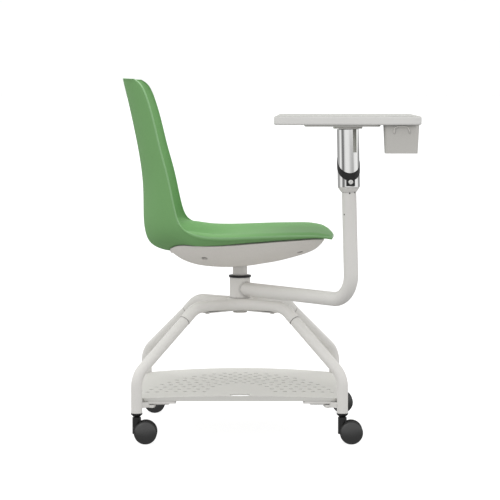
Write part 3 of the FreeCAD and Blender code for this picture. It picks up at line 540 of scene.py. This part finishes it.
def make_wheel(name, body, centre, side):
    """A twin-caster wheel with a domed outer face; side is -1 or 1, the way that face looks."""
    points = []
    for radius, out in WHEEL_PROFILE:
        for k in range(WHEEL_STEPS):
            turn = 2 * math.pi * k / WHEEL_STEPS
            across, up = radius * math.cos(turn), radius * math.sin(turn)
            points.append(centre + Vector((across, side * out, up)) * MM)
    rings = len(WHEEL_PROFILE)
    faces = ring_faces(rings, WHEEL_STEPS)
    faces.append(tuple(range(WHEEL_STEPS)))
    faces.append(tuple(range((rings - 1) * WHEEL_STEPS, rings * WHEEL_STEPS)))
    wheel = new_piece(name, points, faces, 38.0)
    give(wheel, "wheel", "tread")
    for i, face in enumerate(wheel.data.polygons):
        ring = i // WHEEL_STEPS
        face.material_index = 1 if TREAD_FROM <= ring < TREAD_TO else 0
    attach(wheel, body)
    return wheel


for node in list(nodes):
    if node.startswith("wheel_"):
        low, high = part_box(node)
        side = -1 if node.startswith("wheel_right") else 1
        inner_y = high.y if side < 0 else low.y
        centre = Vector(((low.x + high.x) / 2, inner_y, (low.z + high.z) / 2))
        wheel = make_wheel("domed_" + node, node, centre, side)
        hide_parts(node)


# ---------------------------------------------------------------- weld of the arm tube

# In millimetres from the swivel axis, as are the small parts below.
WELD_R, WELD_OFF = 1.2, 0.4
WELD_RIPPLES, WELD_RIPPLE = 24, 0.12
WELD_STEPS, WELD_SIDES = 96, 10
SLEEVE_R, TUBE_R, TUBE_Z = 24.0, 16.0, 327.3
UP = Vector((0, 0, 1))
ARM_CORNER = Vector((248.1, -300.0, TUBE_Z))
ARM_TOP = Vector((241.3, -300.0, 577.0))
ARM_WAY = Vector((ARM_CORNER.x, ARM_CORNER.y, 0.0)).normalized()


def make_weld():
    """A rippled bead where the arm tube runs into its sleeve."""
    across = Vector((-ARM_WAY.y, ARM_WAY.x, 0.0))
    path = []
    for k in range(WELD_STEPS):
        turn = 2 * math.pi * k / WELD_STEPS
        side = (TUBE_R + WELD_OFF) * math.cos(turn)
        out = math.sqrt((SLEEVE_R + WELD_OFF)**2 - side**2)
        height = TUBE_Z + (TUBE_R + WELD_OFF) * math.sin(turn)
        path.append(ARM_WAY * out + across * side + UP * height)
    middle = UP * TUBE_Z + ARM_WAY * SLEEVE_R
    points = []
    for k, here in enumerate(path):
        way = (path[(k + 1) % WELD_STEPS] - path[k - 1]).normalized()
        outward = here - middle
        outward = (outward - way * outward.dot(way)).normalized()
        right = way.cross(outward)
        ripple = math.sin(WELD_RIPPLES * 2 * math.pi * k / WELD_STEPS)
        thick = WELD_R * (1 + WELD_RIPPLE * ripple)
        for s in range(WELD_SIDES):
            a = 2 * math.pi * s / WELD_SIDES
            points.append(from_hub(*(here + (outward * math.cos(a) + right * math.sin(a)) * thick)))
    weld = new_piece("arm_weld", points, ring_faces(WELD_STEPS, WELD_SIDES, closed=True), 80.0)
    give(weld, "paint")
    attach(weld, "arm")


make_weld()


# ---------------------------------------------------------------- set screws of the arm

# Height, and degrees round from +X, of each small hole in the arm tube.
ARM_HOLES = ((566.0, -88.0), (567.5, -42.0), (519.0, -140.0))
SCREW_R, SCREW_STEPS = 1.6, 20
SCREW_DEEP, SCREW_SHY = 2.4, 0.15


def make_set_screws():
    """Black set screws, just under the surface in the small holes of the arm tube."""
    points, faces = [], []
    along = (ARM_TOP - ARM_CORNER).normalized()
    for height, degrees in ARM_HOLES:
        turn = math.radians(degrees)
        way = Vector((math.cos(turn), math.sin(turn), 0.0))
        middle = ARM_CORNER + along * ((height - TUBE_Z) / along.z)
        across = way.cross(UP)
        first = len(points)
        for out in (TUBE_R - SCREW_DEEP, TUBE_R - SCREW_SHY):
            for k in range(SCREW_STEPS):
                a = 2 * math.pi * k / SCREW_STEPS
                spoke = (across * math.cos(a) + UP * math.sin(a)) * SCREW_R
                points.append(from_hub(*(middle + way * out + spoke)))
        faces += ring_faces(2, SCREW_STEPS, first)
        faces.append(tuple(range(first, first + SCREW_STEPS)))
        faces.append(tuple(range(first + SCREW_STEPS, len(points))))
    screws = new_piece("arm_set_screws", points, faces)
    give(screws, "black")
    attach(screws, "arm")


make_set_screws()


# ---------------------------------------------------------------- rib of the accessory bin

TABLET_AXIS = Vector((240.0, -300.0, 0.0))
TABLET_YAW = math.radians(-2.0)
TABLET_LOW = 716.3
# The bin in the tablet's own axes: middle, near face at the top, low end, and draft to there.
BIN_X, BIN_FACE_Y, BIN_LOW, BIN_DRAFT = 113.5, -81.0, 655.0, 3.0
# The rib's way across the bin's face: along x from the middle of the face, and height.
RIB_WAY = [(-17.0, 700.0), (-16.0, 706.0), (-14.3, 710.5), (-11.5, 712.6), (-6.0, 713.2),
           (2.0, 713.6), (9.0, 713.2), (12.5, 711.8), (15.0, 708.0), (16.6, 703.5), (17.4, 700.0)]
RIB_R, RIB_SIDES = 1.1, 8


def on_tablet(x, y, z):
    """A point in the tablet's own axes, in the row frame."""
    c, s = math.cos(TABLET_YAW), math.sin(TABLET_YAW)
    return from_hub(TABLET_AXIS.x + c * x - s * y, TABLET_AXIS.y + s * x + c * y, z)


def make_bin_rib():
    """A thin raised rib that arches across the near face of the bin."""
    points = []
    way = [Vector((x, 0.0, z)) for x, z in RIB_WAY]
    for k, here in enumerate(way):
        along = (way[min(k + 1, len(way) - 1)] - way[max(k - 1, 0)]).normalized()
        side = Vector((-along.z, 0.0, along.x))
        face_y = BIN_FACE_Y + (TABLET_LOW - here.z) * BIN_DRAFT / (TABLET_LOW - BIN_LOW)
        for s in range(RIB_SIDES):
            a = 2 * math.pi * s / RIB_SIDES
            edge = here + side * (RIB_R * math.cos(a))
            points.append(on_tablet(BIN_X + edge.x, face_y + RIB_R * math.sin(a), edge.z))
    faces = ring_faces(len(way), RIB_SIDES)
    faces.append(tuple(range(RIB_SIDES)))
    faces.append(tuple(range(len(points) - RIB_SIDES, len(points))))
    rib = new_piece("bin_rib", points, faces, 60.0)
    give(rib, "cap")
    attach(rib, "tablet")


make_bin_rib()


# ---------------------------------------------------------------- face of the upper sleeve

HEAD_R, HEAD_LEAN = 24.3, 1.2
HEAD_FOOT = Vector((241.2, -300.0, 569.0))
# The patch: heights, degrees to either side of the near side, and how far it stands out and in.
PATCH_LOW, PATCH_HIGH, PATCH_TURN = 640.0, 651.0, 20.0
PATCH_PROUD, PATCH_SUNK = 0.05, 0.4
PATCH_ROWS, PATCH_COLUMNS = 4, 16


def make_sleeve_patch():
    """Closes the nick where the fold pin's bore grazes the near face of the upper sleeve."""
    lean = math.radians(HEAD_LEAN)
    axis = Vector((-math.sin(lean), 0.0, math.cos(lean)))
    right = Vector((math.cos(lean), 0.0, math.sin(lean)))
    points, faces = [], []
    for radius in (HEAD_R + PATCH_PROUD, HEAD_R - PATCH_SUNK):
        for i in range(PATCH_ROWS + 1):
            height = PATCH_LOW + (PATCH_HIGH - PATCH_LOW) * i / PATCH_ROWS
            middle = HEAD_FOOT + axis * (height - HEAD_FOOT.z)
            for j in range(PATCH_COLUMNS + 1):
                turn = math.radians(PATCH_TURN * (2 * j / PATCH_COLUMNS - 1))
                out = right * math.sin(turn) - Vector((0, 1, 0)) * math.cos(turn)
                points.append(from_hub(*(middle + out * radius)))
    width = PATCH_COLUMNS + 1
    back = width * (PATCH_ROWS + 1)
    for i in range(PATCH_ROWS):
        for j in range(PATCH_COLUMNS):
            a = i * width + j
            faces.append((a, a + 1, a + width + 1, a + width))
            faces.append((back + a, back + a + width, back + a + width + 1, back + a + 1))
    ring = list(range(width))
    ring += [i * width + PATCH_COLUMNS for i in range(1, PATCH_ROWS + 1)]
    ring += [PATCH_ROWS * width + j for j in range(PATCH_COLUMNS - 1, -1, -1)]
    ring += [i * width for i in range(PATCH_ROWS - 1, 0, -1)]
    for a, b in zip(ring, ring[1:] + ring[:1]):
        faces.append((a, b, back + b, back + a))
    patch = new_piece("sleeve_face", points, faces)
    give(patch, "chrome")
    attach(patch, "tablet")


make_sleeve_patch()


# ---------------------------------------------------------------- floor, light and camera

FLOOR_REACH = 400.0
PAPER, PAPER_GLOW = 0.35, 0.86
SKY = 1.02
SKY_TILT = -0.05
GROUND = 0.40
# Heights of a direction where the sky starts, and where the surround gives way to the ground.
HORIZON = (-0.015, 0.0)
GROUND_LINE = (-0.22, -0.14)
# Studio surround below the horizon: degrees round from the near side towards +X, and brightness.
SURROUND = [(-180, 0.40), (-158, 0.45), (-135, 0.36), (-118, 0.38), (-105, 0.60), (-92, 1.00),
            (-80, 0.78), (-68, 0.22), (-52, 0.18), (-42, 0.62), (-30, 0.86), (-5, 0.87),
            (5, 0.82), (15, 0.66), (26, 0.54), (38, 0.47), (49, 0.42), (57, 0.74), (70, 0.90),
            (85, 0.90), (101, 0.98), (112, 0.45), (122, 0.30), (145, 0.22), (180, 0.40)]
# Each lamp: name, place and size in metres, and power in watts.
LAMPS = [("overhead_softbox", (0.3, 0.6, 3.4), 1.6, 26.0),
         ("front_softbox", (-3.0, -5.6, 3.6), 2.2, 8.0)]
LAMP_AIM = Vector((0.0, 0.0, 0.4))
CAMERA_AT = (-0.0477, -4.8087, 0.7888)
CAMERA_DIP = 4.33
LENS, SENSOR = 150.0, 36.0


def make_floor():
    """White paper that glows, and that neither lights nor shades the chair."""
    corners = [Vector((x, y, 0.0)) * FLOOR_REACH for x, y in ((-1, -1), (1, -1), (1, 1), (-1, 1))]
    floor = new_piece("floor", corners, [(0, 1, 2, 3)])
    paper = bpy.data.materials.new("white_paper")
    paper.use_nodes = True
    shader = paper.node_tree.nodes["Principled BSDF"]
    shader.inputs["Base Color"].default_value = (PAPER, PAPER, PAPER, 1.0)
    shader.inputs["Emission Color"].default_value = (1.0, 1.0, 1.0, 1.0)
    shader.inputs["Emission Strength"].default_value = PAPER_GLOW
    shader.inputs["Roughness"].default_value = 1.0
    shader.inputs["Specular IOR Level"].default_value = 0.0
    floor.data.materials.append(paper)
    floor.visible_diffuse = False
    floor.visible_glossy = False
    floor.visible_shadow = False


def make_light():
    """A bright sky, a dim ground, and between them a band of light and dark for the chrome."""
    world = bpy.data.worlds.new("studio")
    bpy.context.scene.world = world
    world.use_nodes = True
    g = Graph(world.node_tree)
    back = world.node_tree.nodes["Background"]
    way = g.add("TexCoord").outputs["Generated"]
    parts = g.add("SeparateXYZ")
    g.join(way, parts.inputs[0])
    x, y, z = parts.outputs
    turn = g.math("ARCTAN2", x, g.math("MULTIPLY", y, -1.0))
    ramp = g.add("ValToRGB")
    g.join(g.math("ADD", g.math("MULTIPLY", turn, 0.5 / math.pi), 0.5), ramp.inputs["Fac"])
    stops = ramp.color_ramp
    stops.interpolation = "EASE"
    while len(stops.elements) < len(SURROUND):
        stops.elements.new(0.5)
    for stop, (degrees, value) in zip(stops.elements, SURROUND):
        stop.position = 0.5 + degrees / 360
        stop.color = (value, value, value, 1.0)
    sky = g.math("MULTIPLY", SKY, g.math("ADD", 1.0, g.math("MULTIPLY", x, SKY_TILT)))
    low = g.blend(g.step(z, *GROUND_LINE), GROUND, ramp.outputs["Color"])
    g.join(g.blend(g.step(z, *HORIZON), low, sky), back.inputs["Color"])
    back.inputs["Strength"].default_value = 1.0


def make_lamp(name, place, size, power):
    """A square softbox at place that looks at the middle of the object."""
    lamp = bpy.data.lights.new(name, "AREA")
    lamp.size = size
    lamp.energy = power
    holder = bpy.data.objects.new(name, lamp)
    holder.location = place
    holder.rotation_euler = (LAMP_AIM - Vector(place)).to_track_quat("-Z", "Y").to_euler()
    bpy.context.scene.collection.objects.link(holder)


def make_camera():
    """A long lens square to the chair's side, tipped down a little."""
    camera = bpy.data.cameras.new("camera")
    camera.lens = LENS
    camera.sensor_width = SENSOR
    holder = bpy.data.objects.new("camera", camera)
    holder.location = CAMERA_AT
    holder.rotation_euler = (math.radians(90.0 - CAMERA_DIP), 0.0, 0.0)
    bpy.context.scene.collection.objects.link(holder)
    bpy.context.scene.camera = holder


make_floor()
make_light()
for lamp in LAMPS:
    make_lamp(*lamp)
make_camera()
bpy.context.scene.view_settings.view_transform = "Standard"
